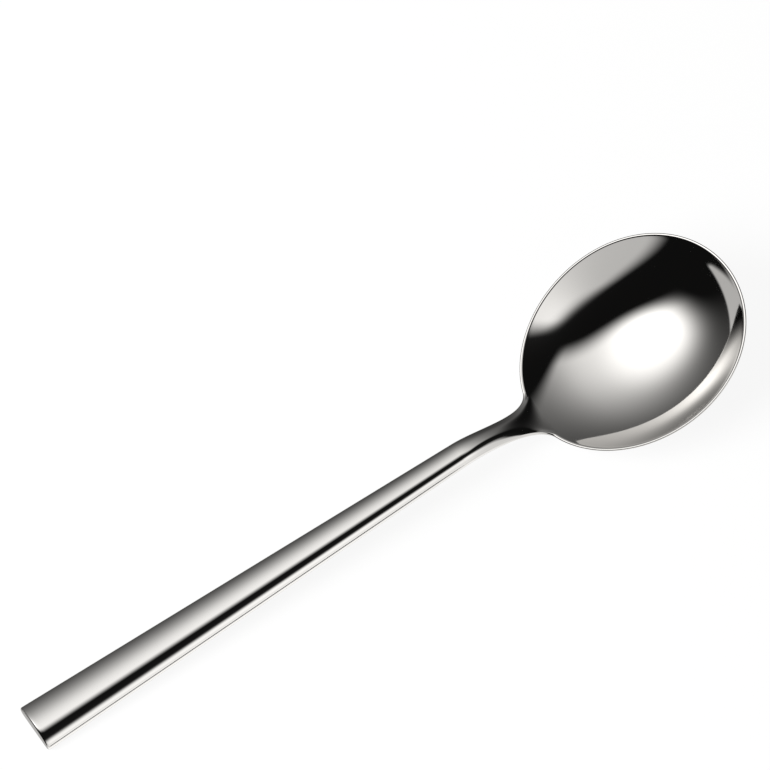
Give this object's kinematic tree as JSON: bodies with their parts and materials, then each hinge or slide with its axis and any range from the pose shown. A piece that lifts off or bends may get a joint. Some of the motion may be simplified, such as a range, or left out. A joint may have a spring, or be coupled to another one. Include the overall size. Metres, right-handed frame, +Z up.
{
  "type": "serving spoon",
  "caption": "Mirror-polished serving spoon with a tapered, dome-topped hollow handle, a dropped neck and an oval bowl.",
  "frame": {"origin": "on the table, below the middle of the spoon's box as it rests", "axes": "+X along the spoon from the handle's end to the bowl's tip, +Y across it, +Z up"},
  "size_m": [0.2412, 0.061, 0.0275],
  "materials": {
    "polished_steel": "mirror-polished stainless steel",
    "braze": "silver braze, polished flush",
    "bedding": "cast resin"
  },
  "bodies": {
    "root": {"bowl": "polished_steel", "neck": "polished_steel", "handle_top_shell": "polished_steel", "handle_bottom_shell": "polished_steel", "butt_cap": "polished_steel", "tang_bedding": "bedding", "seam_braze": "braze", "mouth_braze": "braze"}
  },
  "joints": []
}
